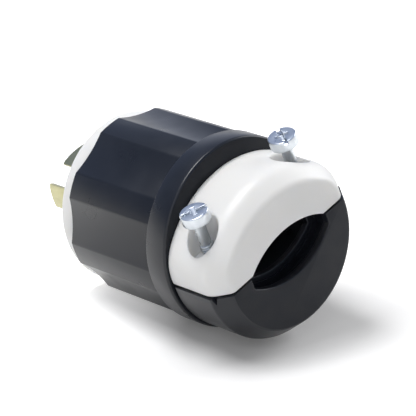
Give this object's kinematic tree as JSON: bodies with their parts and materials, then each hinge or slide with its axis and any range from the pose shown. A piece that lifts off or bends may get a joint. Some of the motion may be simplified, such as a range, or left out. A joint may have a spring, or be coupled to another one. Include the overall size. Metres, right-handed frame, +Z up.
{
  "type": "locking power plug",
  "caption": "Round locking power plug with curved blades on a flat face, a fluted grip and a two-piece cord clamp drawn together by two screws.",
  "frame": {"origin": "centre of the flat front face that meets the outlet", "axes": "+Y along the plug's axis towards the blades, +Z up as the plug lies on its side"},
  "size_m": [0.0586, 0.0899, 0.0596],
  "materials": {
    "black_nylon": "satin moulded black nylon",
    "white_nylon": "satin moulded white nylon",
    "carrier_plastic": "moulded white thermoset",
    "zinc_steel": "bright zinc plate",
    "terminal_brass": "bright brass",
    "blade_brass": "nickel-washed stamped brass"
  },
  "bodies": {
    "plug_body": {"assembly_screw_lower": "zinc_steel", "assembly_screw_upper": "zinc_steel", "clamp_nut_left": "zinc_steel", "clamp_nut_right": "zinc_steel", "front_face": "white_nylon", "ground_blade": "blade_brass", "ground_plate": "zinc_steel", "ground_terminal_screw": "terminal_brass", "housing": "black_nylon", "phase_blade_a": "blade_brass", "phase_blade_b": "blade_brass", "phase_blade_c": "blade_brass", "phase_plate_a": "zinc_steel", "phase_plate_b": "zinc_steel", "phase_plate_c": "zinc_steel", "phase_terminal_screw_a": "terminal_brass", "phase_terminal_screw_b": "terminal_brass", "phase_terminal_screw_c": "terminal_brass", "terminal_carrier": "carrier_plastic"},
    "jaw": {"clamp_jaw": "white_nylon"},
    "screw_left": {"clamp_screw_left": "zinc_steel"},
    "screw_right": {"clamp_screw_right": "zinc_steel"}
  },
  "joints": [
    {"name": "jaw_lift", "type": "slide", "parent": "plug_body", "child": "jaw", "axis": [-0.3827, 0, 0.9239], "range_m": [0, 0.005]},
    {"name": "screw_left_run", "type": "slide", "parent": "jaw", "child": "screw_left", "axis": [-0.3827, 0, 0.9239], "range_m": [-0.0129, 0]},
    {"name": "screw_right_run", "type": "slide", "parent": "jaw", "child": "screw_right", "axis": [-0.3827, 0, 0.9239], "range_m": [-0.0129, 0]}
  ]
}
